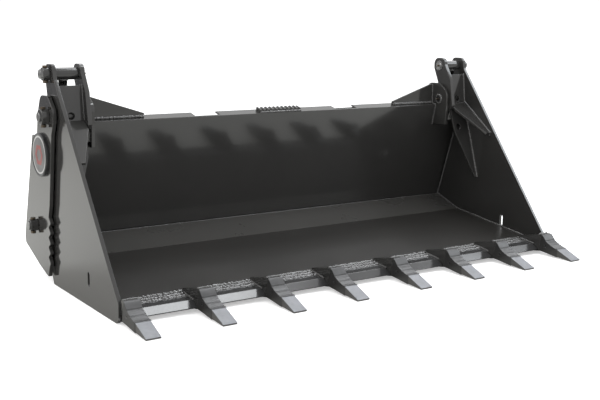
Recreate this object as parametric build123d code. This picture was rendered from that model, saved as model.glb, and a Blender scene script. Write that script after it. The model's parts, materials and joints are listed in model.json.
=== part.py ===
# Four-in-one skid steer bucket: a rear frame, a hinged clam jaw and two cylinders.
# Millimetres. +X is to the bucket's right, +Y runs from the teeth to the machine, +Z is up.
# Outlines are (y, z) or (y, z, corner radius). Their y starts near the cutting edge, and
# place() then moves every piece so that the origin is under the middle of the bucket.

import os
from math import atan2, degrees, hypot

from build123d import *

os.makedirs("parts", exist_ok=True)

# ---- driving dimensions ----
HALF_WIDTH = 915.3          # outer face of a clam side plate
SIDE_T = 12.7               # clam and rear side plates, half-inch
SIDE_GAP = 5.4              # between a clam side plate and the rear side plate outside it
SKIN_T = 6.35               # moldboard, quarter-inch
FLOOR_T = 8.0
EDGE_T = 19.0               # cutting edge, three-quarter-inch
RIB_T = 9.5                 # webs, ribs and gussets

HINGE = (460.0, 588.0)      # clam hinge pin
ROD_PIN = (480.0, 728.0)    # cylinder rod pin, on the clam's ears
BASE_PIN = (615.0, 197.0)   # cylinder base pin, on the rear side plates
PIN_R = 16.0
PIN_RUN = 0.05              # running clearance of every pivot, on the radius
HINGE_TUBE_R = 21.0
ROD_EYE_R = 20.5
BASE_EYE_R = 24.0

LUG_X = 786.0               # inner face of the rear hinge plates
EAR_X = 802.0               # inner face of the clam's inner ears
EAR_T = 16.0
CYL_X = 868.0               # cylinder centre line
BARREL_R = 32.0
BARREL_BORE_R = 27.5
BARREL_LEN = 366.0          # base pin to the top of the gland
ROD_R = 17.5
GLAND_BORE_R = 23.0         # wide, because the linkage is opened at this fit
PISTON_R = 22.0
PORTS_Z = (62.0, 300.0)     # hose ports, along the barrel from the base pin
PORT_R = 6.5
PORT_TOP = BARREL_R + 11    # outer end of a port boss, from the barrel's axis
PIN_END_X = 966.0           # outer ends of the hinge and base pins

MOLD_TOP = (480.0, 562.0)   # top front corner of the moldboard
MOLD_LEAN = 0.26            # how far the moldboard runs back for each unit down
MOLD_BOTTOM_Z = 130.0
MOLD_CORNER_Z = 490.0       # height of the moldboard outside the hinge plates
FLANGE_W = 48.0
NOTCH_X = (266.0, 368.0)    # from and to, on both sides of the middle
ATTACH_FOOT = (757.3, 133.8)
ATTACH_LEAN = 0.3404
ATTACH_T = 9.5
ATTACH_HALF = 571.5
ATTACH_Z = (122.0, 540.0)
BELLY_FRONT, BELLY_REAR = (570.0, 50.0), (770.0, 121.0)

FLOOR_FRONT = (47.0, 48.2)  # top of the floor where it meets the cutting edge
FLOOR_FOLD = (448.1, 100.8)
LIP_TOP = (580.3, 150.7)
BEVEL_TOP_Y = -38.0
EDGE_FRONT = (-64.0, 14.3)
EDGE_LAND = 3.0

WEB_TOP = (438.0, 690.0)    # the web between the ears: top, bend and lower point
WEB_BEND = (427.0, 575.0)
WEB_POINT = (334.0, 258.0)
WEB_HOLE_R = 12.0               # through the web, so paint and water drain

TOOTH_X = (135.4, 384.0, 635.5, 886.0)
TOOTH_W = 52.8
SHANK_W = 34.0
TOOTH_PIN = (-106.0, 37.0)
TOOTH_PIN_R = 5.0
TIP_Y = -239.5

BADGE_AT = (530.0, 453.5)
BADGE_R = 75.0
BADGE_T = 12.5
BOLT_R = 5.0                # cross bolts that lock the pins in their collars
LEDGE_Z = 136.0
LEDGE_REACH = 62.0          # how far the attach plate's foot ledge stands out behind it

SIDE_IN = HALF_WIDTH - SIDE_T
REAR_IN = HALF_WIDTH + SIDE_GAP
REAR_OUT = REAR_IN + SIDE_T
PIN_HOLE = PIN_R + PIN_RUN


def attach_front(z):
    return ATTACH_FOOT[0] - ATTACH_LEAN * (z - ATTACH_FOOT[1])


BACK_Y = attach_front(LEDGE_Z) + LEDGE_REACH
MID_Y = (TIP_Y + BACK_Y) / 2


def mold_front(z):
    return MOLD_TOP[0] + MOLD_LEAN * (MOLD_TOP[1] - z)


# ---- helpers ----
def place(shape):
    return Pos(0, -MID_Y, 0) * shape


def save(name, *shapes):
    """One node: its separate solids, moved to the part's frame."""
    solids = [solid for shape in shapes for solid in place(shape).solids()]
    export_step(solids[0] if len(solids) == 1 else Compound(children=solids),
                f"parts/{name}.step")


def outline(points):
    """A closed face in local x, y; a point's third number is its corner radius."""
    face = make_face(Polyline(*[(p[0], p[1]) for p in points], close=True))
    for point in points:
        if len(point) == 3:
            corner = face.vertices().sort_by_distance((point[0], point[1], 0))[0]
            face = fillet(corner, point[2])
    return face


def slab(points, x0, x1):
    """A (y, z) outline filled from x0 to x1."""
    return extrude(Plane.YZ.offset(x0) * outline(points), x1 - x0)


def bar_x(at, radius, x0, x1):
    """A round bar along X about the point (y, z)."""
    return extrude(Plane.YZ.offset(x0) * Pos(at[0], at[1]) * Circle(radius), x1 - x0)


def tube_x(at, outer, inner, x0, x1):
    return bar_x(at, outer, x0, x1) - bar_x(at, inner, x0 - 1, x1 + 1)


def box(x, y, z):
    return Pos((x[0] + x[1]) / 2, (y[0] + y[1]) / 2, (z[0] + z[1]) / 2) * Box(
        x[1] - x[0], y[1] - y[0], z[1] - z[0])


def other(shape):
    """The same piece on the bucket's left, at negative X."""
    return mirror(shape, Plane.YZ)


def save_pair(name, right):
    save(f"{name}_right", right)
    save(f"{name}_left", other(right))


def normal_right(start, end):
    """Unit normal on the right of the way from start to end."""
    length = hypot(end[0] - start[0], end[1] - start[1])
    return (end[1] - start[1]) / length, -(end[0] - start[0]) / length


def folded(points, thickness):
    """Outline of a folded sheet seen edge on, its thickness on the right of the way along."""
    sides = [normal_right(a, b) for a, b in zip(points, points[1:])]
    corners = [sides[0]] + list(zip(sides, sides[1:])) + [sides[-1]]
    back = []
    for (y, z), corner in zip(points, corners):
        (ay, az), (by, bz) = corner if isinstance(corner[0], tuple) else (corner, corner)
        mitre = thickness / (1 + ay * by + az * bz)
        back.append((y + (ay + by) * mitre, z + (az + bz) * mitre))
    return list(points) + back[::-1]


# ---- rear frame ----
def side_plate_profile():
    """Hinge lug, stepped rear edge, cut-off heel and a gripping edge of rounded teeth."""
    points = [(428, 530), (404, 574, 20), (404, 612, 32), (452, 657, 28), (524, 657, 36),
              (560, 590), (577, 517, 4), (627.9, 514, 8), (757.3, 133.8, 18),
              (752.9, 108.5, 14), (604, 52.7, 30), (514.5, 28.4, 5), (500, 66)]
    pitch, reach = 35.5, 19.0
    lowest_tooth_z, root_slope = 81.0, -0.115
    for step in range(5):
        z = lowest_tooth_z + pitch * step
        root_y = 507 + root_slope * (z - lowest_tooth_z)
        points += [(root_y - reach, z, 5), (root_y, z + pitch * 0.55, 5)]
    return points + [(474.5, 285)]


def rear_side_plate():
    plate = slab(side_plate_profile(), REAR_IN, REAR_OUT)
    for at in (HINGE, BASE_PIN):
        plate -= bar_x(at, PIN_R, REAR_IN - 1, REAR_OUT + 1)
    return plate


def hinge_plate():
    """Inner plate of a cylinder bay; its lug stands above and ahead of the moldboard."""
    points = [(418, 480), (412, 560, 30), (412, 620, 42), (458, 655, 45), (535, 655, 30),
              (548, 560, 20), (690, 185, 30), (690, 100, 12), (612, 72),
              (mold_front(MOLD_BOTTOM_Z) + 8, MOLD_BOTTOM_Z), (mold_front(476) + 8, 476)]
    plate = slab(points, LUG_X, LUG_X + SIDE_T)
    for at in (HINGE, BASE_PIN):
        plate -= bar_x(at, PIN_R, LUG_X - 1, LUG_X + SIDE_T + 1)
    return plate


def on_flange(reach):
    """The point on the flange's upper face this far behind the moldboard's top corner."""
    step = reach / hypot(1, MOLD_LEAN)
    return MOLD_TOP[0] + step, MOLD_TOP[1] + MOLD_LEAN * step


def moldboard():
    """One sheet: leaning back wall, folded top flange with two notches, lower outer ends."""
    bottom = (mold_front(MOLD_BOTTOM_Z), MOLD_BOTTOM_Z)
    corner = (mold_front(MOLD_CORNER_Z), MOLD_CORNER_Z)
    wall = slab(folded([bottom, MOLD_TOP, on_flange(FLANGE_W)], SKIN_T),
                -LUG_X - SIDE_T, LUG_X + SIDE_T)
    wall += slab(folded([bottom, corner], SKIN_T), -REAR_IN, REAR_IN)
    front_y, low_z = MOLD_TOP[0] + 9, MOLD_TOP[1] - 12
    for side in (-1, 1):
        x = sorted((side * NOTCH_X[0], side * NOTCH_X[1]))
        wall -= box(x, (front_y, front_y + 70), (low_z, low_z + 50))
    return wall


def step_tread():
    """Serrated foot tread across the middle of the flange."""
    length, base_h, tooth_h, teeth = 184.0, 5.0, 7.0, 10
    pitch = length / teeth
    points = [(-length / 2, 0), (-length / 2, base_h + tooth_h)]
    for step in range(teeth):
        x = -length / 2 + pitch * step
        points += [(x + pitch * 0.35, base_h + tooth_h), (x + pitch * 0.5, base_h),
                   (x + pitch * 0.85, base_h), (x + pitch, base_h + tooth_h)]
    points += [(length / 2, 0)]
    depth, set_back = 34.0, 7.0
    tread = Rot(90, 0, 0) * extrude(outline(points), -depth)
    return Pos(0, *on_flange(set_back)) * Rot(degrees(atan2(MOLD_LEAN, 1)), 0, 0) * tread


def top_gusset():
    """Triangle that braces a hinge lug along the flange."""
    y0, _ = on_flange(22)
    _, foot_z = on_flange(22 + RIB_T * hypot(1, MOLD_LEAN))
    tip_x, tip_h, top_z = 566.0, 12.0, 650.0
    profile = outline([(LUG_X, foot_z), (LUG_X, top_z), (LUG_X - 8, top_z),
                       (tip_x, foot_z + tip_h), (tip_x, foot_z)])
    return extrude(Plane.XZ.offset(-y0) * profile, -RIB_T)


def attach_plate():
    low, high = ATTACH_Z
    return slab(folded([(attach_front(low), low), (attach_front(high), high)], ATTACH_T),
                -ATTACH_HALF, ATTACH_HALF)


def belly_top(y):
    slope = (BELLY_REAR[1] - BELLY_FRONT[1]) / (BELLY_REAR[0] - BELLY_FRONT[0])
    return BELLY_FRONT[1] + slope * (y - BELLY_FRONT[0]) + FLOOR_T * hypot(1, slope)


def belly_plate():
    """Underside between the blade and the foot of the attach plate."""
    blank = slab(folded([BELLY_REAR, BELLY_FRONT], FLOOR_T), -REAR_IN, REAR_IN)
    low, high = (attach_front(60), 60.0), (attach_front(200), 200.0)
    behind = slab(folded([low, high], 60), -REAR_IN - 1, REAR_IN + 1)
    return blank - behind - rear_blade()


def rear_blade():
    """Scraping blade along the foot of the moldboard, bevelled at its back."""
    top = (mold_front(MOLD_BOTTOM_Z), MOLD_BOTTOM_Z)
    toe = (top[0] - 36, 24.0)
    half = SIDE_IN - 3.3
    return slab([top, toe, (toe[0] + 6, toe[1]), (toe[0] + 24, toe[1] + 20),
                 (top[0] + 16.9, top[1])], -half, half)


def attach_ribs():
    """Ribs that tie the moldboard to the attach plate."""
    back = SKIN_T * hypot(1, MOLD_LEAN)
    low_front, low_rear, foot, head = 612.0, 745.0, 150.0, 528.0
    points = [(low_front, belly_top(low_front)), (mold_front(foot) + back + 20, foot),
              (mold_front(foot) + back, foot), (mold_front(head) + back, head),
              (attach_front(head), head), (attach_front(foot), foot),
              (low_rear, belly_top(low_rear))]
    half = RIB_T / 2
    return [slab(points, side * x - half, side * x + half)
            for x in (90.0, 325.0, 560.0) for side in (-1, 1)]


def attach_lip():
    """Top hook of the quick-attach plate."""
    z = ATTACH_Z[1]
    root = attach_front(z)
    points = [(root, z), (root + 8, z + 10, 3), (root + 52, z - 14, 4), (root + 47, z - 26, 3),
              (root + 10.1, z)]
    return slab(points, -ATTACH_HALF, ATTACH_HALF)


def attach_ledge():
    """Foot of the quick-attach plate, with the two latch slots."""
    back = attach_front(LEDGE_Z) + ATTACH_T * hypot(1, ATTACH_LEAN)
    thick = 16.0
    slope = ATTACH_LEAN * thick
    ledge = slab([(back, LEDGE_Z), (BACK_Y, LEDGE_Z, 6), (BACK_Y, LEDGE_Z - thick, 6),
                  (back + slope, LEDGE_Z - thick)], -ATTACH_HALF, ATTACH_HALF)
    for side in (-1, 1):
        slot = box((side * 508 - 22, side * 508 + 22), (back + 14, back + 40),
                   (LEDGE_Z - thick - 5, LEDGE_Z + 5))
        ledge -= slot
    return ledge


def bay_tie():
    """Plate across the back of a cylinder bay, from the inner plate to the outer one."""
    z0, z1 = 118.0, 240.0
    return slab([(664, z0), (664, z1, 3), (674, z1, 3), (674, z0)],
                LUG_X + SIDE_T, REAR_IN)


def stepped_pin(at, x0, x1):
    """A pin with chamfered ends."""
    pin = bar_x(at, PIN_R, x0, x1)
    ends = pin.faces().filter_by(Axis.X).edges()
    return chamfer(ends, 1.5)


def collar(at, radius, x0, x1):
    """Locking collar with a cross hole for its bolt."""
    ring = tube_x(at, radius, PIN_R, x0, x1)
    ring = chamfer(ring.edges().filter_by(GeomType.CIRCLE).group_by(SortBy.RADIUS)[-1], 1.5)
    middle = (x0 + x1) / 2
    return ring - cross_hole(at, middle)


def cross_hole(at, x):
    return Pos(x, *at) * Cylinder(BOLT_R, 120)


def cross_bolt(at, x, collar_r):
    """Bolt down through a collar and its pin, with a hex head on top and a nut below."""
    nut_h, head_h = 8.0, 6.4
    hexagon = RegularPolygon(9.2, 6)
    bolt = Pos(x, *at) * Cylinder(BOLT_R, 2 * (collar_r + nut_h / 2))
    bolt += Pos(x, at[0], at[1] + collar_r) * extrude(hexagon, head_h)
    return bolt + Pos(x, at[0], at[1] - collar_r - nut_h) * extrude(hexagon, nut_h)


def nipple(at, x):
    """Grease nipple out of the inner end of a pin: hexagon, neck and ball."""
    body = extrude(RegularPolygon(4.5, 6), 3) + Pos(0, 0, 4.5) * Cylinder(2.6, 7)
    body += Pos(0, 0, 9) * Sphere(3.0)
    return Pos(x, *at) * Rot(0, -90, 0) * body


def badge():
    """Round cover disc, dished at the rim, on a rear side plate."""
    disc = bar_x(BADGE_AT, BADGE_R, REAR_OUT, REAR_OUT + BADGE_T)
    rim = disc.faces().sort_by(Axis.X)[-1].edges()
    return fillet(rim, 2.5)


# ---- clam ----
def clam_side_plate():
    """Slanted front edge from the nose up to the rod-pin ear; the rear edge ends by the lip."""
    points = [(-36, 0, 14), (-53, 12, 10), (-56, 64, 6), (437, 714, 30), (448, 761, 20),
              (512, 761, 20), (515, 700), (506, 655), (509, 600, 40), (490, 530, 60),
              (490.9, 426.9), (583, 152, 10), (580, 128), (515, 0, 8)]
    plate = slab(points, SIDE_IN, HALF_WIDTH)
    slot = Pos(0, 181.5, 90) * Rot(0, 90, 0) * extrude(
        SlotOverall(46, 16), 2000, both=True)
    plate -= slot
    plate -= bar_x(HINGE, PIN_HOLE, SIDE_IN - 1, HALF_WIDTH + 1)
    return plate - bar_x(ROD_PIN, PIN_R, SIDE_IN - 1, HALF_WIDTH + 1)


def clam_ear():
    """Inner ear: carries the other end of the rod pin and runs on the hinge pin."""
    points = [(447, 761, 26), (514, 761, 26), (514, 718, 20), (484, 650, 20), (508, 600, 30),
              (500, 545, 30), (425, 530, 14), (392.6, 560, 10), (409.5, 669), (446, 733)]
    ear = slab(points, EAR_X, EAR_X + EAR_T)
    ear -= bar_x(HINGE, PIN_HOLE, EAR_X - 1, EAR_X + EAR_T + 1)
    return ear - bar_x(ROD_PIN, PIN_R, EAR_X - 1, EAR_X + EAR_T + 1)


def clam_web():
    """Front plate between the ears, bent below the hinge and tapered to a point."""
    x0, x1 = EAR_X + EAR_T, SIDE_IN
    web = slab(folded([WEB_TOP, WEB_BEND, WEB_POINT], -RIB_T), x0, x1)
    free_edge = [(x0 - 1, 500), (x0 + 3, 450), (x1 - 8, 250), (x0 - 1, 250)]
    web -= extrude(Plane.XZ.offset(-600) * outline(free_edge), 400)
    for x, z in ((862.0, 589.0), (846.0, 470.0)):
        web -= Pos(x, 400, z) * Rot(90, 0, 0) * Cylinder(WEB_HOLE_R, 200)
    return web


def clam_rib():
    """Second brace, running forward from the web's bend down the side plate."""
    x0, x1 = EAR_X + EAR_T, SIDE_IN
    start, end = (425.0, 574.0), (262.0, 452.0)
    rib = slab(folded([start, end], -RIB_T), x0, x1)
    free_edge = [(x0 - 1, 392), (x1 - 10, 240), (x0 - 1, 240)]
    rib = rib - extrude(outline(free_edge), 900) - clam_web()
    return rib.solids().sort_by(SortBy.VOLUME)[-1]


def hinge_tube():
    """Bush tube between a clam side plate and its inner ear, round the hinge pin."""
    return tube_x(HINGE, HINGE_TUBE_R, PIN_HOLE, EAR_X + EAR_T, SIDE_IN)


def floor_direction():
    dy, dz = FLOOR_FOLD[0] - FLOOR_FRONT[0], FLOOR_FOLD[1] - FLOOR_FRONT[1]
    return dy / hypot(dy, dz), dz / hypot(dy, dz)


def clam_floor():
    """Folded sheet: floor, then the band that rises to the lip under the moldboard."""
    points = folded([FLOOR_FRONT, FLOOR_FOLD, LIP_TOP], FLOOR_T)
    points[1] = (*points[1], 12)
    points[4] = (*points[4], 12 + FLOOR_T)
    return slab(points, -SIDE_IN, SIDE_IN)


def floor_height(y):
    uy, uz = floor_direction()
    return FLOOR_FRONT[1] + (y - FLOOR_FRONT[0]) * uz / uy


def cutting_edge():
    """Bevelled edge bar across the whole front, square at the back where the floor meets it."""
    uy, uz = floor_direction()
    back_low = (FLOOR_FRONT[0] + EDGE_T * uz, FLOOR_FRONT[1] - EDGE_T * uy)
    points = [FLOOR_FRONT, (BEVEL_TOP_Y, floor_height(BEVEL_TOP_Y)),
              (EDGE_FRONT[0], EDGE_FRONT[1] + EDGE_LAND), EDGE_FRONT, back_low]
    bar = slab(points, -HALF_WIDTH, HALF_WIDTH)
    return bar - clam_side_plate() - other(clam_side_plate())


def shank_nose(x):
    """Wedge that the tooth slides on."""
    points = [(-64, 66), (-64, 20), (-150, 17), (-150, 26), (-120, 41), (-100, 54)]
    return slab(points, x - SHANK_W / 2, x + SHANK_W / 2)


def tooth_pin(x):
    half = TOOTH_W / 2 + 0.5
    return bar_x(TOOTH_PIN, TOOTH_PIN_R, x - half, x + half)


def shank(x, welded_to):
    """Adapter welded over the cutting edge and on to the floor."""
    points = [(34, 58, 4), (-84, 82), (-68, 12), (-46, 8), (40, 40)]
    body = slab(points, x - TOOTH_W / 2 + 3, x + TOOTH_W / 2 - 3)
    for piece in welded_to:
        body -= piece
    body = body.solids().sort_by(SortBy.VOLUME)[-1]
    return body + shank_nose(x) - tooth_pin(x)


def tooth(x):
    """Slip-on tooth: a steep ridged socket, then a plain blade that tapers to the tip."""
    socket = [(-85.5, 81), (-70, 15, 3), (-110, 11), (-166, 4), (-166, 37), (-150, 39.5),
              (-120, 51.5), (-104, 64), (-94, 76)]
    blade = [(-164, 35.8), (-150, 30), (-150, 7), (TIP_Y + 2, 0), (TIP_Y, 5.5)]
    grooves = [(-158, 38.2), (-135, 45.5), (-112, 57.8)]
    body = slab(socket, x - TOOTH_W / 2, x + TOOTH_W / 2)
    body += slab(blade, x - TOOTH_W / 2 + 1.5, x + TOOTH_W / 2 - 1.5)
    for y, z in grooves:
        body -= bar_x((y, z + 3.4), 4.8, x - TOOTH_W, x + TOOTH_W)
    return body - shank_nose(x) - tooth_pin(x)


# ---- cylinders ----
def cylinder_frame():
    """The cylinder's own axis: origin on the base pin, local +Z towards the rod pin."""
    dy, dz = ROD_PIN[0] - BASE_PIN[0], ROD_PIN[1] - BASE_PIN[1]
    return Pos(CYL_X, *BASE_PIN) * Rot(-degrees(atan2(dy, dz)), 0, 0), hypot(dy, dz)


AXIS, PIN_TO_PIN = cylinder_frame()


def along(radius, z0, z1):
    return AXIS * Pos(0, 0, (z0 + z1) / 2) * Cylinder(radius, z1 - z0)


def barrel():
    """Honed tube with its base cap and the cross tube for the base pin."""
    body = along(BARREL_R, 12, BARREL_LEN - 30)
    body += bar_x(BASE_PIN, BASE_EYE_R, LUG_X + SIDE_T + 2, REAR_IN - 2)
    body -= along(BARREL_BORE_R, 42, BARREL_LEN)
    return body - bar_x(BASE_PIN, PIN_HOLE, LUG_X, REAR_IN)


def gland():
    """Screwed head that closes the barrel and guides the rod."""
    ring = along(BARREL_R + 2, BARREL_LEN - 30, BARREL_LEN)
    ring = chamfer(ring.edges().filter_by(GeomType.CIRCLE), 2)
    ring += along(BARREL_BORE_R, BARREL_LEN - 52, BARREL_LEN - 30)
    return ring - along(GLAND_BORE_R, 0, BARREL_LEN + 5)


def radial(radius, z, r0, r1):
    """A round bar out of the back of the barrel, from r0 to r1 off its axis."""
    return AXIS * Pos(0, (r0 + r1) / 2, z) * Rot(90, 0, 0) * Cylinder(radius, r1 - r0)


def barrel_with_ports():
    """The barrel with its two hose port bosses, drilled through to the bore."""
    body = barrel()
    for z in PORTS_Z:
        body += radial(14, z, BARREL_BORE_R, PORT_TOP) - along(BARREL_BORE_R, 0, BARREL_LEN)
        body -= radial(PORT_R, z, 0, PORT_TOP + 1)
    return body


def rod():
    """Chromed rod with the cross tube for the rod pin; the piston end sits in the barrel."""
    body = along(ROD_R, 260, PIN_TO_PIN - 10)
    body += bar_x(ROD_PIN, ROD_EYE_R, EAR_X + EAR_T + 1.5, SIDE_IN - 1.5)
    return body - bar_x(ROD_PIN, PIN_HOLE, EAR_X, HALF_WIDTH)


def piston():
    return along(PISTON_R, 230, 260)


# ---- write the nodes ----
lug_plate = hinge_plate() - belly_plate() - rear_blade()
save("moldboard", moldboard() - lug_plate - other(lug_plate))
save("step_tread", step_tread())
save_pair("top_gusset", top_gusset())
save_pair("rear_side_plate", rear_side_plate())
save_pair("hinge_plate", lug_plate)
save_pair("bay_tie", bay_tie())
save("belly_plate", belly_plate())
save("rear_blade", rear_blade())
save("attach_plate", attach_plate())
save("attach_ribs", *attach_ribs())
save("attach_lip", attach_lip() - attach_plate())
save("attach_ledge", attach_ledge())
save_pair("badge", badge())

HINGE_COLLAR = (REAR_OUT, REAR_OUT + 26, 27.0)
BASE_COLLAR = (REAR_OUT, REAR_OUT + 28, 21.0)
ROD_COLLAR = (HALF_WIDTH, HALF_WIDTH + 24, 22.0)
PINS = {
    "hinge_pin": (HINGE, LUG_X - 4, PIN_END_X, HINGE_COLLAR),
    "base_pin": (BASE_PIN, LUG_X - 4, PIN_END_X, BASE_COLLAR),
    "rod_pin": (ROD_PIN, EAR_X - 4, 948.0, ROD_COLLAR),
}
locks = {}
for name, (at, x0, x1, (c0, c1, c_r)) in PINS.items():
    bolt_x = (c0 + c1) / 2
    save_pair(name, stepped_pin(at, x0, x1) - cross_hole(at, bolt_x))
    locks[name] = (collar(at, c_r, c0, c1), cross_bolt(at, bolt_x, c_r), nipple(at, x0))
for body, names in (("frame", ("hinge_pin", "base_pin")), ("rod", ("rod_pin",))):
    for kind, piece in enumerate(("collars", "pin_bolts", "nipples")):
        pieces = [locks[name][kind] for name in names]
        save(f"{body}_{piece}", *pieces, *[other(shape) for shape in pieces])

clam_side = clam_side_plate()
save_pair("clam_side_plate", clam_side)
save_pair("clam_ear", clam_ear())
save_pair("clam_web", clam_web())
save_pair("clam_rib", clam_rib())
save("hinge_tubes", hinge_tube(), other(hinge_tube()))
floor, edge = clam_floor(), cutting_edge()
save("clam_floor", floor)
save("cutting_edge", edge)
stations = sorted([-x for x in TOOTH_X] + list(TOOTH_X))
welded_to = (floor, edge, clam_side, other(clam_side))
save("tooth_shanks", *[shank(x, welded_to) for x in stations])
save("tooth_pins", *[tooth_pin(x) for x in stations])
for number, x in enumerate(stations, 1):
    save(f"tooth_{number}", tooth(x))

save_pair("cylinder_barrel", barrel_with_ports())
save_pair("cylinder_gland", gland())
save_pair("cylinder_rod", rod())
save_pair("cylinder_piston", piston())
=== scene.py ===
import json
import math

import bmesh
import bpy
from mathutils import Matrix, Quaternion, Vector


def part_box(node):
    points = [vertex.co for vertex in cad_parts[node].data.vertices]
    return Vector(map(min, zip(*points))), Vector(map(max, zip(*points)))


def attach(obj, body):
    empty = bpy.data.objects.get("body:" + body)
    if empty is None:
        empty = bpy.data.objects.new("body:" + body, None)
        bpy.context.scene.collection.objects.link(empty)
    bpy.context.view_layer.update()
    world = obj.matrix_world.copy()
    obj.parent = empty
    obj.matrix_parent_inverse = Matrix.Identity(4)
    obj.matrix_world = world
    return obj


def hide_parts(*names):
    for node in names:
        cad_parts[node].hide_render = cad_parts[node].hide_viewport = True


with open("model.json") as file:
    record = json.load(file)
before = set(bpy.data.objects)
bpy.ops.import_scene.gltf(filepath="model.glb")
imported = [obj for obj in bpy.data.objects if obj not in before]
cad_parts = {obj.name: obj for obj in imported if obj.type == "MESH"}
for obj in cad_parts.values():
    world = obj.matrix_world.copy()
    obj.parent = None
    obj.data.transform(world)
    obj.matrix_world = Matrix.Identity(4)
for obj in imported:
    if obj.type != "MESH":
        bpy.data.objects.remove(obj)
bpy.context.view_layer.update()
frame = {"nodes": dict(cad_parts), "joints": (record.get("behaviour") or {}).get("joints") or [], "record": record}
joints = {joint["name"]: joint for joint in frame["joints"]}


# ---------------------------------------------------------------- studio
# A white floor runs into a white surround, which lights the bucket along with four soft
# panels: behind it, over the cutting edge, and at either side. The camera is at its front left.
def shader(material_name):
    """A new material, its node tree and its Principled BSDF."""
    material = bpy.data.materials.new(material_name)
    material.use_nodes = True
    return material, material.node_tree, material.node_tree.nodes["Principled BSDF"]


def ramp(tree, value, low, high, to_low=0.0, to_high=1.0):
    """Value remapped from low..high, held at both ends."""
    node = tree.nodes.new("ShaderNodeMapRange")
    node.inputs["From Min"].default_value = low
    node.inputs["From Max"].default_value = high
    node.inputs["To Min"].default_value = to_low
    node.inputs["To Max"].default_value = to_high
    tree.links.new(value, node.inputs["Value"])
    return node.outputs["Result"]


def blend_colour(tree, amount, first, second):
    """First to second by an amount; each is a colour or a socket."""
    node = tree.nodes.new("ShaderNodeMix")
    node.data_type = "RGBA"
    tree.links.new(amount, node.inputs["Factor"])
    for value, socket in ((first, node.inputs["A"]), (second, node.inputs["B"])):
        if isinstance(value, tuple):
            socket.default_value = value
        else:
            tree.links.new(value, socket)
    return node.outputs["Result"]


def arithmetic(tree, operation, first, second):
    """A sum or product; each side is a number or a socket."""
    node = tree.nodes.new("ShaderNodeMath")
    node.operation = operation
    for value, socket in ((first, node.inputs[0]), (second, node.inputs[1])):
        if isinstance(value, float):
            socket.default_value = value
        else:
            tree.links.new(value, socket)
    return node.outputs["Value"]


# The camera sees a faint glow on the floor, so no line parts it from the surround. Where the
# paint mirrors it, the floor is painted duller, and darker still far behind the bucket: painted
# shade in the reflections, standing for the unlit studio beyond the white floor.
white, floor_seen = (1.0, 1.0, 1.0, 1), (0.9, 0.9, 0.9, 1)
floor_mirrored_near, floor_mirrored_far = (0.74, 0.74, 0.71, 1), (0.16, 0.16, 0.17, 1)
fade_from_y, fade_to_y = 5.2, 7.4
floor_glow, surround_strength = 0.45, 1.05
floor_material, floor_tree, floor_bsdf = shader("studio_floor")
floor_bsdf.inputs["Roughness"].default_value = 0.9
floor_bsdf.inputs["Specular IOR Level"].default_value = 0.1
floor_bsdf.inputs["Emission Color"].default_value = white
ray = floor_tree.nodes.new("ShaderNodeLightPath")
spot = floor_tree.nodes.new("ShaderNodeSeparateXYZ")
floor_tree.links.new(floor_tree.nodes.new("ShaderNodeTexCoord").outputs["Object"],
                     spot.inputs["Vector"])
mirrored_tone = blend_colour(
    floor_tree, ramp(floor_tree, spot.outputs["Y"], fade_from_y, fade_to_y),
    floor_mirrored_near, floor_mirrored_far)
floor_tree.links.new(
    blend_colour(floor_tree, ray.outputs["Is Glossy Ray"], floor_seen, mirrored_tone),
    floor_bsdf.inputs["Base Color"])
floor_tree.links.new(
    arithmetic(floor_tree, "MULTIPLY", ray.outputs["Is Camera Ray"], floor_glow),
    floor_bsdf.inputs["Emission Strength"])
floor_half, floor_drop = 30.0, 0.0006
floor_mesh = bpy.data.meshes.new("studio_floor")
floor_mesh.from_pydata(
    [(sx * floor_half, sy * floor_half, -floor_drop)
     for sx, sy in ((-1, -1), (1, -1), (1, 1), (-1, 1))], [], [(0, 1, 2, 3)])
floor_mesh.materials.append(floor_material)
floor_object = bpy.data.objects.new("studio_floor", floor_mesh)
bpy.context.collection.objects.link(floor_object)

world = bpy.data.worlds.new("studio_surround")
bpy.context.scene.world = world
world.use_nodes = True
world.node_tree.nodes["Background"].inputs["Color"].default_value = white
world.node_tree.nodes["Background"].inputs["Strength"].default_value = surround_strength


def soft_panel(name, at, aim, width, depth, watts, tint):
    """A studio panel at one point, turned to another."""
    lamp = bpy.data.lights.new(name, "AREA")
    lamp.shape = "RECTANGLE"
    lamp.size, lamp.size_y = width, depth
    lamp.energy = watts
    lamp.color = tint
    panel = bpy.data.objects.new(name, lamp)
    panel.location = at
    panel.rotation_mode = "QUATERNION"
    panel.rotation_quaternion = (Vector(aim) - Vector(at)).to_track_quat("-Z", "Y")
    bpy.context.collection.objects.link(panel)


cool_white, cooler_white, warm_white = (0.95, 0.975, 1.0), (0.9, 0.95, 1.0), (1.0, 0.98, 0.95)
soft_panel("back_panel", at=(2.7, 1.5, 3.6), aim=(2.7, 1.51, 0.0),
           width=5.2, depth=1.0, watts=95.0, tint=cool_white)
soft_panel("edge_panel", at=(0.95, -0.45, 3.6), aim=(0.95, -0.44, 0.0),
           width=1.5, depth=0.7, watts=30.0, tint=cool_white)
soft_panel("right_panel", at=(4.5, -1.7, 3.6), aim=(0.9, -0.1, 0.4),
           width=2.2, depth=2.2, watts=75.0, tint=cooler_white)
soft_panel("left_panel", at=(-4.2, 1.6, 3.0), aim=(-1.6, 1.4, 0.0),
           width=2.8, depth=2.8, watts=80.0, tint=warm_white)

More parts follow.
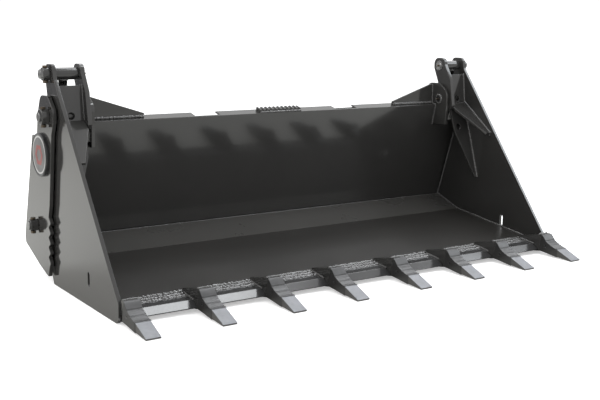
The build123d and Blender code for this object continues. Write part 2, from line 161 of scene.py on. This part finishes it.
camera_at = (-1.991, -2.958, 0.8652)
camera_yaw, camera_pitch, camera_roll = 0.5833, -0.1722, 0.0029
camera_data = bpy.data.cameras.new("camera")
camera_data.sensor_width = 36.0
camera_data.lens = 57.7
camera = bpy.data.objects.new("camera", camera_data)
camera.location = camera_at
camera.rotation_mode = "QUATERNION"
looking = Vector((math.sin(camera_yaw) * math.cos(camera_pitch),
                  math.cos(camera_yaw) * math.cos(camera_pitch), math.sin(camera_pitch)))
camera.rotation_quaternion = (looking.to_track_quat("-Z", "Y")
                              @ Quaternion((0, 0, 1), camera_roll))
bpy.context.collection.objects.link(camera)
bpy.context.scene.camera = camera
bpy.context.scene.view_settings.view_transform = "Standard"


# ---------------------------------------------------------------- moldboard and rear plates
# The rear frame is plasma-cut and folded mild steel plate, welded up and sprayed with
# semi-gloss black enamel. Cut edges keep a small radius, and rolled plate is never quite flat.
def new_group(name, inputs, outputs):
    """An empty shader node group with named sockets."""
    group = bpy.data.node_groups.new(name, "ShaderNodeTree")
    for socket_name, kind, value in inputs:
        socket = group.interface.new_socket(socket_name, in_out="INPUT", socket_type=kind)
        socket.default_value = value
    for socket_name, kind in outputs:
        group.interface.new_socket(socket_name, in_out="OUTPUT", socket_type=kind)
    return group, group.nodes.new("NodeGroupInput"), group.nodes.new("NodeGroupOutput")


def noise(tree, vector, scale, detail, roughness=0.55):
    """Noise over a vector, from 0 to 1."""
    node = tree.nodes.new("ShaderNodeTexNoise")
    node.inputs["Scale"].default_value = scale
    node.inputs["Detail"].default_value = detail
    node.inputs["Roughness"].default_value = roughness
    tree.links.new(vector, node.inputs["Vector"])
    return node.outputs["Fac"]


def bump(tree, height, distance, strength, under=None):
    """A normal raised by a height, over another normal if there is one."""
    node = tree.nodes.new("ShaderNodeBump")
    node.inputs["Distance"].default_value = distance
    node.inputs["Strength"].default_value = strength
    tree.links.new(height, node.inputs["Height"])
    if under is not None:
        tree.links.new(under, node.inputs["Normal"])
    return node.outputs["Normal"]


# Sprayed enamel on plate: slow dips of the plate, fine orange peel, a thin film in patches.
enamel_group, enamel_in, enamel_out = new_group(
    "enamel_surface",
    [("Paint", "NodeSocketColor", (0.02, 0.02, 0.02, 1)),
     ("Dust", "NodeSocketColor", (0.075, 0.07, 0.064, 1)),
     ("Dust Amount", "NodeSocketFloat", 0.05),
     ("Gloss Roughness", "NodeSocketFloat", 0.13)],
    [("Color", "NodeSocketColor"), ("Roughness", "NodeSocketFloat"),
     ("Normal", "NodeSocketVector")])
where = enamel_group.nodes.new("ShaderNodeTexCoord").outputs["Object"]
patch_scale, dip_scale, peel_scale = 4.5, 3.2, 260.0
dip_depth, peel_depth, film_roughness = 0.006, 0.0002, 0.5
patches = noise(enamel_group, where, patch_scale, 4.0)
film = arithmetic(enamel_group, "MULTIPLY", ramp(enamel_group, patches, 0.35, 0.75),
                  enamel_in.outputs["Dust Amount"])
enamel_group.links.new(
    blend_colour(enamel_group, film, enamel_in.outputs["Paint"], enamel_in.outputs["Dust"]),
    enamel_out.inputs["Color"])
enamel_group.links.new(
    arithmetic(enamel_group, "ADD", enamel_in.outputs["Gloss Roughness"],
               arithmetic(enamel_group, "MULTIPLY", film, film_roughness)),
    enamel_out.inputs["Roughness"])
dips = bump(enamel_group, noise(enamel_group, where, dip_scale, 1.0), dip_depth, 0.07)
orange_peel = bump(enamel_group, noise(enamel_group, where, peel_scale, 1.0), peel_depth,
                   0.12, dips)
enamel_group.links.new(orange_peel, enamel_out.inputs["Normal"])


def enamel(name, paint, roughness, dust, coat, coat_roughness=0.06):
    """Enamel over steel: its own paint colour, gloss and dust, under a clear coat."""
    material, tree, bsdf = shader(name)
    surface = tree.nodes.new("ShaderNodeGroup")
    surface.node_tree = enamel_group
    surface.inputs["Paint"].default_value = paint
    surface.inputs["Dust Amount"].default_value = dust
    surface.inputs["Gloss Roughness"].default_value = roughness
    tree.links.new(surface.outputs["Color"], bsdf.inputs["Base Color"])
    tree.links.new(surface.outputs["Roughness"], bsdf.inputs["Roughness"])
    tree.links.new(surface.outputs["Normal"], bsdf.inputs["Normal"])
    bsdf.inputs["Coat Weight"].default_value = coat
    bsdf.inputs["Coat Roughness"].default_value = coat_roughness
    return material


black_enamel = enamel("black_enamel", (0.026, 0.0255, 0.0245, 1),
                      roughness=0.1, dust=0.05, coat=0.2, coat_roughness=0.04)
same_point = 2e-6
flat_angle, round_angle, sharp_angle = math.radians(0.5), math.radians(28), math.radians(32)
unrounded, plate_round = 0.0, 0.0011


def dressed(node, material, radius):
    """A clean copy of a CAD node, its edges rounded or left sharp, that stands for it."""
    mesh = frame["nodes"][node].data.copy()
    build = bmesh.new()
    build.from_mesh(mesh)
    bmesh.ops.remove_doubles(build, verts=build.verts, dist=same_point)
    bmesh.ops.dissolve_limit(build, angle_limit=flat_angle, verts=build.verts,
                             edges=build.edges, use_dissolve_boundaries=False)
    build.to_mesh(mesh)
    build.free()
    mesh.materials.clear()
    mesh.materials.append(material)
    mesh.shade_smooth()
    rough = bpy.data.objects.new(f"{node}_blank", mesh)
    bpy.context.collection.objects.link(rough)
    if radius:
        edge_round = rough.modifiers.new("edge_round", "BEVEL")
        edge_round.width = radius
        edge_round.segments = 2
        edge_round.limit_method = "ANGLE"
        edge_round.angle_limit = round_angle
        edge_round.use_clamp_overlap = False
        flat_faces = rough.modifiers.new("flat_faces", "WEIGHTED_NORMAL")
        flat_faces.weight = 100
    else:
        mesh.set_sharp_from_angle(angle=sharp_angle)
    bpy.context.view_layer.update()
    shaped = bpy.data.meshes.new_from_object(
        rough.evaluated_get(bpy.context.evaluated_depsgraph_get()))
    bpy.data.objects.remove(rough)
    piece = bpy.data.objects.new(f"{node}_painted", shaped)
    bpy.context.collection.objects.link(piece)
    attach(piece, frame_body[node])
    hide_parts(node)
    return piece


frame_body = {node: body
              for body, nodes in frame["record"]["behaviour"]["bodies"].items()
              for node in nodes}
both_sides = ("left", "right")

for plate in ["moldboard", "belly_plate", "rear_blade"] + [
        f"{name}_{side}" for name in ("rear_side_plate", "hinge_plate", "bay_tie", "top_gusset")
        for side in both_sides]:
    dressed(plate, black_enamel, plate_round)


# ---------------------------------------------------------------- weld beads of the rear frame
# Every joint is closed with a hand-laid MIG fillet: overlapping ripples of filler a few
# millimetres apart, painted over with the plate. One tree lays a bead along any path.
ripple_least, ripple_most = (0.72, 0.72, 0.6), (1.14, 1.14, 1.0)
tilt_least, tilt_most = (-0.4, -0.4, -0.6), (0.4, 0.4, 0.6)


def new_bead_tree(finish):
    """Geometry nodes that stack flattened ripples along mesh edges, in one finish."""
    tree = bpy.data.node_groups.new("weld_bead", "GeometryNodeTree")
    for name, in_out, kind in (("Path", "INPUT", "NodeSocketGeometry"),
                               ("Bead Radius", "INPUT", "NodeSocketFloat"),
                               ("Ripple Pitch", "INPUT", "NodeSocketFloat"),
                               ("Seed", "INPUT", "NodeSocketInt"),
                               ("Bead", "OUTPUT", "NodeSocketGeometry")):
        tree.interface.new_socket(name, in_out=in_out, socket_type=kind)

    def add(kind, **settings):
        node = tree.nodes.new(kind)
        for key, value in settings.items():
            setattr(node, key, value)
        return node

    group_in, group_out = add("NodeGroupInput"), add("NodeGroupOutput")
    curve = add("GeometryNodeMeshToCurve")
    points = add("GeometryNodeCurveToPoints", mode="LENGTH")
    ripple = add("GeometryNodeMeshIcoSphere")
    ripple.inputs["Radius"].default_value = 1.0
    ripple.inputs["Subdivisions"].default_value = 2
    place = add("GeometryNodeInstanceOnPoints")
    uneven = add("FunctionNodeRandomValue", data_type="FLOAT_VECTOR")
    uneven.inputs["Min"].default_value = ripple_least
    uneven.inputs["Max"].default_value = ripple_most
    size = add("ShaderNodeVectorMath", operation="SCALE")
    tilt = add("FunctionNodeRandomValue", data_type="FLOAT_VECTOR")
    tilt.inputs["Min"].default_value = tilt_least
    tilt.inputs["Max"].default_value = tilt_most
    turn = add("GeometryNodeRotateInstances")
    realize = add("GeometryNodeRealizeInstances")
    smooth = add("GeometryNodeSetShadeSmooth")
    paint = add("GeometryNodeSetMaterial")
    paint.inputs["Material"].default_value = finish
    for source, target in (
            (group_in.outputs["Path"], curve.inputs["Mesh"]),
            (curve.outputs["Curve"], points.inputs["Curve"]),
            (group_in.outputs["Ripple Pitch"], points.inputs["Length"]),
            (points.outputs["Points"], place.inputs["Points"]),
            (ripple.outputs["Mesh"], place.inputs["Instance"]),
            (points.outputs["Rotation"], place.inputs["Rotation"]),
            (group_in.outputs["Seed"], uneven.inputs["Seed"]),
            (uneven.outputs["Value"], size.inputs[0]),
            (group_in.outputs["Bead Radius"], size.inputs["Scale"]),
            (size.outputs["Vector"], place.inputs["Scale"]),
            (group_in.outputs["Seed"], tilt.inputs["Seed"]),
            (place.outputs["Instances"], turn.inputs["Instances"]),
            (tilt.outputs["Value"], turn.inputs["Rotation"]),
            (turn.outputs["Instances"], realize.inputs["Geometry"]),
            (realize.outputs["Geometry"], smooth.inputs["Geometry"]),
            (smooth.outputs["Geometry"], paint.inputs["Geometry"]),
            (paint.outputs["Geometry"], group_out.inputs["Bead"])):
        tree.links.new(source, target)
    return tree


weld_enamel = enamel("weld_enamel", (0.036, 0.035, 0.034, 1),
                     roughness=0.12, dust=0.05, coat=1.0, coat_roughness=0.04)
bead_tree = new_bead_tree(weld_enamel)
ring_steps = 28
full_turn = 2 * math.pi


def lay_beads(name, body, radius, pitch, seed, paths):
    """Beads of one size on one body; a path that ends on its first point is a ring."""
    corners, runs = [], []
    for path in paths:
        ring = path[0] == path[-1]
        first, count = len(corners), len(path) - ring
        corners += path[:count]
        runs += [(first + i, first + i + 1) for i in range(count - 1)]
        if ring:
            runs.append((first + count - 1, first))
    lines = bpy.data.meshes.new(f"{name}_path")
    lines.from_pydata(corners, runs, [])
    torch = bpy.data.objects.new(f"{name}_path", lines)
    bpy.context.collection.objects.link(torch)
    laying = torch.modifiers.new("weld_bead", "NODES")
    laying.node_group = bead_tree
    sockets = {item.name: item.identifier for item in bead_tree.interface.items_tree
               if item.in_out == "INPUT"}
    laying[sockets["Bead Radius"]] = radius
    laying[sockets["Ripple Pitch"]] = pitch
    laying[sockets["Seed"]] = seed
    bpy.context.view_layer.update()
    laid = bpy.data.meshes.new_from_object(
        torch.evaluated_get(bpy.context.evaluated_depsgraph_get()))
    bpy.data.objects.remove(torch)
    piece = bpy.data.objects.new(name, laid)
    bpy.context.collection.objects.link(piece)
    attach(piece, body)
    return piece


def ring_about(x, y, z, radius):
    """A ring round a pin that lies along X."""
    ring = [(x, y + radius * math.sin(full_turn * i / ring_steps),
             z + radius * math.cos(full_turn * i / ring_steps)) for i in range(ring_steps)]
    return ring + ring[:1]


mold_low, mold_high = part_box("moldboard")
mold_lean, flange_rise, skin = 0.26, 0.0121, 0.00635
mold_top_y, mold_top_z = mold_low.y, mold_high.z - flange_rise


def mold_front(z):
    """Y of the moldboard's front face at this height."""
    return mold_top_y + mold_lean * (mold_top_z - z)


def mold_back(z):
    """Y of the moldboard's back face at this height."""
    return mold_front(z) + skin * math.hypot(1, mold_lean)


lug_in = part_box("hinge_plate_right")[0].x
_, hinge_y, hinge_z = joints["clam_hinge"]["pos_m"]
_, base_y, base_z = joints["right_barrel_swing"]["pos_m"]
gusset_low, gusset_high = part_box("top_gusset_right")
tread_low, tread_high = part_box("step_tread")
attach_low, attach_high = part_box("attach_plate")
ledge_low, ledge_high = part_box("attach_ledge")
attach_lean, attach_thick, lip_back = 0.3404, 0.0095, 0.0105
pin_radius = 0.016
# how far the middle of a bead stands off the faces it joins, on tight and on open joints
toe, wide_toe = 0.0005, 0.001


def attach_front(z):
    """Y of the attach plate's front face at this height."""
    return attach_low.y + attach_lean * (attach_high.z - z)


def mirrored(path):
    """The same path on the bucket's other side."""
    return [(-x, y, z) for x, y, z in path]


lug_drop, flange_run, flange_climb = 0.085, 0.044, 0.0115
gusset_faces = (gusset_low.y - toe, gusset_high.y + toe)
frame_paths = [
    # hinge lug to the moldboard's face and to its top flange
    [(lug_in, mold_front(z) - wide_toe, z) for z in (mold_top_z - lug_drop, mold_top_z - 0.002)],
    [(lug_in, mold_top_y + 0.002, mold_top_z + wide_toe),
     (lug_in, mold_top_y + flange_run, mold_top_z + flange_climb)],
]
# gusset's heel up the lug, front and back
frame_paths += [[(lug_in - wide_toe, y, z) for z in (gusset_low.z + 0.002, gusset_high.z - 0.004)]
                for y in gusset_faces]
frame_paths += [ring_about(lug_in - toe, y, z, pin_radius + 0.0015)
                for y, z in ((hinge_y, hinge_z), (base_y, base_z))]
frame_paths += [mirrored(path) for path in frame_paths]
gusset_feet = [[(x, y, gusset_low.z + toe) for x in (gusset_low.x + 0.006, lug_in - 0.003)]
               for y in gusset_faces]
lay_beads("gusset_foot_welds", "rear_frame", radius=0.0066, pitch=0.0042, seed=13,
          paths=gusset_feet + [mirrored(path) for path in gusset_feet])
frame_paths.append([(x, tread_low.y - toe, tread_low.z + 0.0015)
                    for x in (tread_low.x + 0.002, tread_high.x - 0.002)])
lay_beads("rear_frame_welds", "rear_frame", radius=0.0042, pitch=0.0026, seed=11,
          paths=frame_paths)

rib_thick, rib_foot, rib_head = 0.0095, 0.15, 0.526
rib_x = [sign * x for x in (0.09, 0.325, 0.56) for sign in (-1, 1)]
back_paths = []
for x in rib_x:
    for face in (-1, 1):
        edge_x = x + face * rib_thick / 2
        back_paths.append([(edge_x, mold_back(z) + wide_toe, z)
                           for z in (rib_foot, rib_head)])
        back_paths.append([(edge_x, attach_front(z) - wide_toe, z)
                           for z in (rib_foot, rib_head)])
attach_back_y = attach_front(ledge_high.z) + attach_thick * math.hypot(1, attach_lean)
back_paths.append([(x, attach_back_y + wide_toe, ledge_high.z + wide_toe)
                   for x in (ledge_low.x + 0.004, ledge_high.x - 0.004)])
back_paths.append([(x, attach_low.y + lip_back, attach_high.z + toe)
                   for x in (attach_low.x + 0.006, attach_high.x - 0.006)])
lay_beads("attach_frame_welds", "rear_frame", radius=0.0042, pitch=0.003, seed=12,
          paths=back_paths)


# ---------------------------------------------------------------- attach frame at the back
# Ribs, a flat plate, a folded hook along its top and a slotted ledge along its foot let the
# carrier's quick-attach plate pick the bucket up. Same plate, same paint, a little dustier.
attach_enamel = enamel("attach_enamel", (0.027, 0.026, 0.0245, 1),
                       roughness=0.2, dust=0.25, coat=0.2)
for plate in ("attach_plate", "attach_ribs", "attach_lip", "attach_ledge"):
    dressed(plate, attach_enamel, plate_round)


# ---------------------------------------------------------------- step tread
# A saw-toothed grip strip, cut from plate and welded across the middle of the top flange.
tread_round = 0.0006
dressed("step_tread", black_enamel, tread_round)


# ---------------------------------------------------------------- pins, collars and grease nipples
# Turned steel pins run through the lugs. A painted collar on each outer end is locked by a
# plated bolt through the pin, and a grease nipple is screwed into each inner end.
def bare_steel(name, colour, roughness, streak_scale, streak_depth):
    """Bare or plated steel with turning streaks and a slight uneven tone."""
    material, tree, bsdf = shader(name)
    spot = tree.nodes.new("ShaderNodeTexCoord").outputs["Object"]
    stretch = tree.nodes.new("ShaderNodeMapping")
    stretch.inputs["Scale"].default_value = streak_scale
    tree.links.new(spot, stretch.inputs["Vector"])
    streaks = noise(tree, stretch.outputs["Vector"], 60.0, 4.0, 0.7)
    tones = noise(tree, spot, 22.0, 3.0)
    darker = tuple(channel * 0.55 for channel in colour[:3]) + (1,)
    tree.links.new(blend_colour(tree, ramp(tree, tones, 0.3, 0.7), darker, colour),
                   bsdf.inputs["Base Color"])
    tree.links.new(ramp(tree, streaks, 0.2, 0.8, roughness - 0.08, roughness + 0.12),
                   bsdf.inputs["Roughness"])
    tree.links.new(bump(tree, streaks, streak_depth, 0.4), bsdf.inputs["Normal"])
    bsdf.inputs["Metallic"].default_value = 1.0
    return material


turned_steel = bare_steel("turned_steel", (0.2, 0.2, 0.2, 1), roughness=0.26,
                          streak_scale=(14.0, 1.0, 1.0), streak_depth=0.00012)
plated_steel = bare_steel("plated_steel", (0.13, 0.105, 0.08, 1), roughness=0.34,
                          streak_scale=(1.0, 1.0, 1.0), streak_depth=0.0001)
collar_round, fixing_round = 0.0005, 0.0003
for pin in ("hinge_pin", "base_pin", "rod_pin"):
    for side in both_sides:
        dressed(f"{pin}_{side}", turned_steel, unrounded)
for collar in ("frame_collars", "rod_collars"):
    dressed(collar, black_enamel, collar_round)
for fixing in ("frame_pin_bolts", "rod_pin_bolts", "frame_nipples", "rod_nipples"):
    dressed(fixing, plated_steel, fixing_round)


# ---------------------------------------------------------------- side badges
# A moulded black puck with a printed face, stuck to each rear side plate: a raised rim, a
# pale ring, and a plain red hexagon on a grey field.
def printed(name, colour, roughness):
    """Moulded or printed plastic with a fine grain."""
    material, tree, bsdf = shader(name)
    spot = tree.nodes.new("ShaderNodeTexCoord").outputs["Object"]
    grain = noise(tree, spot, 700.0, 2.0)
    smudge = noise(tree, spot, 30.0, 4.0)
    worn = tuple(channel * 0.8 for channel in colour[:3]) + (1,)
    tree.links.new(blend_colour(tree, ramp(tree, smudge, 0.45, 0.75), colour, worn),
                   bsdf.inputs["Base Color"])
    tree.links.new(ramp(tree, smudge, 0.3, 0.7, roughness, roughness + 0.12),
                   bsdf.inputs["Roughness"])
    tree.links.new(bump(tree, grain, 0.0001, 0.3), bsdf.inputs["Normal"])
    return material


badge_materials = (printed("badge_black", (0.018, 0.018, 0.019, 1), roughness=0.28),
                   printed("badge_pale", (0.4, 0.4, 0.39, 1), roughness=0.35),
                   printed("badge_grey", (0.1, 0.1, 0.1, 1), roughness=0.35),
                   printed("badge_red", (0.2, 0.03, 0.024, 1), roughness=0.35))
black, pale, grey, red = range(len(badge_materials))
# radius, height above the plate, material of the band that starts there
badge_profile = ((0.0745, 0.0, black), (0.075, 0.002, black), (0.075, 0.0092, black),
                 (0.0742, 0.0112, black), (0.0725, 0.0123, black), (0.0705, 0.0125, black),
                 (0.0688, 0.0119, black), (0.0655, 0.0105, pale), (0.0595, 0.0105, black),
                 (0.0585, 0.0107, grey))
_, field_height, field_material = badge_profile[-1]
hexagon_out, hexagon_in, print_lift = 0.038, 0.022, 0.0003
badge_steps, hexagon_sides = 72, 6
rim_angle = math.radians(40)


def moulded_puck(name, plate_x, sign, mid_y, mid_z):
    """The profile turned about an axis along X, with the hexagon standing on its field."""
    build = bmesh.new()

    def corners_at(radius, height, count):
        """Corners of a regular outline round the puck's axis."""
        return [build.verts.new((plate_x + sign * height,
                                 mid_y + radius * math.cos(full_turn * i / count),
                                 mid_z + radius * math.sin(full_turn * i / count)))
                for i in range(count)]

    rings = [corners_at(radius, height, badge_steps) for radius, height, _ in badge_profile]
    for (first, second), (_, _, band) in zip(zip(rings, rings[1:]), badge_profile):
        for i in range(badge_steps):
            after = (i + 1) % badge_steps
            face = build.faces.new((first[i], first[after], second[after], second[i]))
            face.material_index = band
    build.faces.new(rings[0]).material_index = black
    build.faces.new(rings[-1]).material_index = field_material
    outer, inner, outer_foot, inner_foot = [
        corners_at(radius, field_height + lift, hexagon_sides)
        for lift in (print_lift, -print_lift) for radius in (hexagon_out, hexagon_in)]
    for i in range(hexagon_sides):
        after = (i + 1) % hexagon_sides
        for first, second in ((outer, inner), (inner, inner_foot), (inner_foot, outer_foot),
                              (outer_foot, outer)):
            face = build.faces.new((first[i], first[after], second[after], second[i]))
            face.material_index = red
    bmesh.ops.recalc_face_normals(build, faces=build.faces)
    puck = bpy.data.meshes.new(name)
    build.to_mesh(puck)
    build.free()
    for material in badge_materials:
        puck.materials.append(material)
    puck.shade_smooth()
    puck.set_sharp_from_angle(angle=rim_angle)
    return puck


for side, sign in (("left", -1), ("right", 1)):
    low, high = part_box(f"badge_{side}")
    plate_x = low.x if sign > 0 else high.x
    puck = moulded_puck(f"badge_puck_{side}", plate_x, sign,
                        (low.y + high.y) / 2, (low.z + high.z) / 2)
    badge = bpy.data.objects.new(f"badge_puck_{side}", puck)
    bpy.context.collection.objects.link(badge)
    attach(badge, "rear_frame")
    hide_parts(f"badge_{side}")


# ---------------------------------------------------------------- cylinders
# A barrel with port bosses and a gland, painted together, hangs on the base pin in each bay.
# Its chromed rod ends in a painted cross tube on the rod pin.
chrome = bare_steel("rod_chrome", (0.78, 0.78, 0.79, 1), roughness=0.12,
                    streak_scale=(1.0, 1.0, 1.0), streak_depth=0.00003)
_, rod_pin_y, rod_pin_z = joints["right_rod_swing"]["pos_m"]
eye_radius, eye_margin, barrel_round = 0.0206, 0.0004, 0.0008
for side in both_sides:
    dressed(f"cylinder_barrel_{side}", black_enamel, barrel_round)
    dressed(f"cylinder_gland_{side}", black_enamel, unrounded)
    dressed(f"cylinder_piston_{side}", turned_steel, unrounded)
    rod = dressed(f"cylinder_rod_{side}", chrome, unrounded)
    rod.data.materials.append(black_enamel)
    for face in rod.data.polygons:
        y, z = face.center.y - rod_pin_y, face.center.z - rod_pin_z
        if math.hypot(y, z) < eye_radius + eye_margin:
            face.material_index = 1

cylinder_x = joints["right_barrel_swing"]["pos_m"][0]
cylinder_length = math.hypot(rod_pin_y - base_y, rod_pin_z - base_z)
axis_y = (rod_pin_y - base_y) / cylinder_length
axis_z = (rod_pin_z - base_z) / cylinder_length


def ring_on_cylinder(sign, radius, along):
    """A ring round the cylinder's axis, this far up from the base pin."""
    ring = []
    for i in range(ring_steps):
        swing = full_turn * i / ring_steps
        across, out = radius * math.cos(swing), radius * math.sin(swing)
        ring.append((sign * cylinder_x + across, base_y + axis_y * along + axis_z * out,
                     base_z + axis_z * along - axis_y * out))
    return ring + ring[:1]


barrel_radius, rod_radius = 0.032, 0.0175
for side, sign in (("left", -1), ("right", 1)):
    lay_beads(f"barrel_welds_{side}", f"{side}_barrel", radius=0.0034, pitch=0.0024, seed=21,
              paths=[ring_on_cylinder(sign, barrel_radius - 0.004, 0.0155)])
    lay_beads(f"rod_welds_{side}", f"{side}_rod", radius=0.003, pitch=0.0022, seed=22, paths=[
        ring_on_cylinder(sign, rod_radius - 0.0005, cylinder_length - eye_radius + 0.003)])


# ---------------------------------------------------------------- clam plates
# The front jaw: two heavy side plates with slanted fronts, inner ears, bent webs and braces,
# all welded together and painted like the frame.
jaw_round = 0.0012
for name in ("clam_side_plate", "clam_ear", "clam_web", "clam_rib"):
    for side in both_sides:
        dressed(f"{name}_{side}", black_enamel, jaw_round)
dressed("hinge_tubes", black_enamel, unrounded)

side_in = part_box("clam_floor")[1].x
ear_in, ear_out = [corner.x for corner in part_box("clam_ear_right")]
web_top = (hinge_y - 0.022, hinge_z + 0.102)
web_bend = (hinge_y - 0.033, hinge_z - 0.013)
web_point = (hinge_y - 0.126, hinge_z - 0.330)
web_front, web_back = -0.0005, 0.0105
rib_start = (hinge_y - 0.035, hinge_z - 0.014)
rib_end = (hinge_y - 0.198, hinge_z - 0.136)
tube_radius = 0.021
plate_top_y, plate_top_z = hinge_y + 0.031, hinge_z - 0.161
plate_foot_y, plate_foot_z = hinge_y + 0.123, hinge_z - 0.436
web_path = [(side_in, y + web_front, z) for y, z in (web_top, web_bend, web_point)]
lay_beads("clam_web_welds", "clam", radius=0.0062, pitch=0.0036, seed=32,
          paths=[web_path, mirrored(web_path)])
jaw_paths = [
    # web to the side plate's face and to the ear
    [(side_in, y + web_back, z) for y, z in (web_top, web_bend, web_point)],
    [(ear_out, y + web_front, z) for y, z in (web_top, web_bend)],
    [(ear_out, y + web_back, z) for y, z in (web_top, web_bend)],
    # rib to the side plate, above and below
    [(side_in, rib_start[0], rib_start[1] + 0.001), (side_in, rib_end[0], rib_end[1] + 0.001)],
    [(side_in, rib_start[0] - 0.004, rib_start[1] - 0.013),
     (side_in, rib_end[0] + 0.002, rib_end[1] - 0.011)],
    # round the rod pin and both ends of the hinge tube
    ring_about(ear_in - 0.0003, rod_pin_y, rod_pin_z, pin_radius + 0.0012),
    ring_about(ear_out + 0.001, hinge_y, hinge_z, tube_radius + 0.0008),
    ring_about(side_in - 0.001, hinge_y, hinge_z, tube_radius + 0.0008),
    # down the rear edge of the side plate
    [(side_in, plate_top_y, plate_top_z), (side_in, plate_foot_y, plate_foot_z)],
]
lay_beads("clam_plate_welds", "clam", radius=0.0043, pitch=0.0027, seed=31,
          paths=jaw_paths + [mirrored(path) for path in jaw_paths])


# ---------------------------------------------------------------- floor and cutting edge
# A folded floor sheet rises in a band to the lip under the moldboard. Its front edge is
# closed to the bevelled cutting edge by three overlapping weld passes.
# The floor is painted darker than the frame's enamel, and the band lighter than both.
floor_enamel = enamel("floor_enamel", (0.022, 0.021, 0.0195, 1),
                      roughness=0.34, dust=0.08, coat=0.0)
band_enamel = enamel("band_enamel", (0.052, 0.051, 0.048, 1),
                     roughness=0.26, dust=0.15, coat=0.1)
edge_enamel = enamel("edge_enamel", (0.034, 0.034, 0.035, 1),
                     roughness=0.2, dust=0.1, coat=0.4)
sheet_round = 0.001
floor_piece = dressed("clam_floor", floor_enamel, sheet_round)
floor_piece.data.materials.append(band_enamel)
dressed("cutting_edge", edge_enamel, jaw_round)

floor_low, floor_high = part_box("clam_floor")
floor_slope, band_slope, sheet = 0.1311, 0.3775, 0.008
front_y = floor_low.y
front_z = floor_low.z + sheet * math.cos(math.atan(floor_slope))
lip_y = floor_high.y - sheet * math.sin(math.atan(band_slope))
lip_z = floor_high.z
fold_y = ((lip_z - front_z + floor_slope * front_y - band_slope * lip_y)
          / (floor_slope - band_slope))
for face in floor_piece.data.polygons:
    if face.center.y > fold_y:
        face.material_index = 1


def floor_z(y):
    """Height of the floor's upper face, carried on over the edge and up the band."""
    return (front_z + floor_slope * (min(y, fold_y) - front_y)
            + band_slope * (max(y, fold_y) - fold_y))


pass_radius, pass_sunk, pass_ahead = 0.0115, 0.0062, (0.007, 0.026, 0.045)
for number, ahead in enumerate(pass_ahead, 1):
    path = [(sign * side_in, front_y - ahead, floor_z(front_y - ahead) - pass_sunk)
            for sign in (-1, 1)]
    lay_beads(f"edge_weld_pass_{number}", "clam", radius=pass_radius, pitch=0.0052,
              seed=40 + number, paths=[path])

seam_path = [(side_in, y, floor_z(y) + toe) for y in (front_y - 0.05, fold_y, lip_y - 0.003)]
lay_beads("floor_side_welds", "clam", radius=0.0048, pitch=0.003, seed=51,
          paths=[seam_path, mirrored(seam_path)])
lip_path = [(sign * (side_in - 0.002), lip_y + 0.0012, lip_z - 0.0012) for sign in (-1, 1)]
lay_beads("lip_edge_beads", "clam", radius=0.003, pitch=0.0024, seed=52, paths=[lip_path])


# ---------------------------------------------------------------- teeth
# Cast shanks are welded over the cutting edge. A slip-on tooth with a ribbed socket and a
# plain blade is pinned on each nose. Its blade is painted brighter than its socket, and its
# tops lighter than its sides as painted light from above.
def cast_tooth_material(blade_length):
    """Pitted casting: blade tops lighter than socket tops, and faces turned up painted lighter than the sides as
    painted light from above.
    """
    material, tree, bsdf = shader("tooth_casting")
    spot = tree.nodes.new("ShaderNodeTexCoord").outputs["Object"]
    split = tree.nodes.new("ShaderNodeSeparateXYZ")
    tree.links.new(spot, split.inputs["Vector"])
    blade_end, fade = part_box("tooth_1")[0].y + blade_length, 0.0025
    drift = arithmetic(tree, "MULTIPLY", noise(tree, spot, 60.0, 3.0), 0.004)
    along = arithmetic(tree, "ADD", split.outputs["Y"], drift)
    blade = ramp(tree, along, blade_end, blade_end + fade, 1.0, 0.0)
    pits = noise(tree, spot, 260.0, 4.0, 0.6)
    stains = noise(tree, spot, 28.0, 4.0, 0.6)
    worn = ramp(tree, stains, 0.35, 0.7)
    facing = tree.nodes.new("ShaderNodeSeparateXYZ")
    tree.links.new(tree.nodes.new("ShaderNodeNewGeometry").outputs["Normal"],
                   facing.inputs["Vector"])
    # Faces turned up get the lighter top tone and the rest the dark side tone: painted light from above and
    # painted shade on the sides.
    lit_from_above = ramp(tree, facing.outputs["Z"], 0.25, 0.45)
    shaded_side_tone = blend_colour(tree, blade, (0.016, 0.0155, 0.015, 1), (0.045, 0.043, 0.04, 1))
    socket_tone = blend_colour(tree, worn, (0.038, 0.038, 0.039, 1), (0.06, 0.06, 0.062, 1))
    blade_tone = blend_colour(tree, worn, (0.15, 0.156, 0.17, 1), (0.19, 0.197, 0.215, 1))
    lit_top_tone = blend_colour(tree, blade, socket_tone, blade_tone)
    tree.links.new(blend_colour(tree, lit_from_above, shaded_side_tone, lit_top_tone), bsdf.inputs["Base Color"])
    tree.links.new(ramp(tree, pits, 0.25, 0.75, 0.32, 0.46), bsdf.inputs["Roughness"])
    tree.links.new(bump(tree, pits, 0.0006, 0.5), bsdf.inputs["Normal"])
    return material


tooth_casting = cast_tooth_material(blade_length=0.0735)
shank_round, tooth_round = 0.0022, 0.0016
dressed("tooth_shanks", black_enamel, shank_round)
dressed("tooth_pins", turned_steel, unrounded)
tooth_nodes = sorted(node for node in frame["nodes"]
                     if node.removeprefix("tooth_").isdigit())
shank_half, shank_nose_half = 0.0234, 0.012
shank_paths = []
for node in tooth_nodes:
    dressed(node, tooth_casting, tooth_round)
    low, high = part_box(node)
    x = (low.x + high.x) / 2
    reach = [(x - shank_half, high.y + 0.03), (x - shank_half, front_y - 0.022),
             (x - shank_nose_half, front_y - 0.012), (x + shank_nose_half, front_y - 0.012),
             (x + shank_half, front_y - 0.022), (x + shank_half, high.y + 0.03)]
    shank_paths.append([(px, py, floor_z(py) + wide_toe) for px, py in reach
                        if abs(px) < side_in])
    shank_paths.append([(x - shank_half + 0.003, high.y + 0.0015, high.z - 0.002),
                        (x + shank_half - 0.003, high.y + 0.0015, high.z - 0.002)])
lay_beads("shank_welds", "clam", radius=0.005, pitch=0.0032, seed=61, paths=shank_paths)
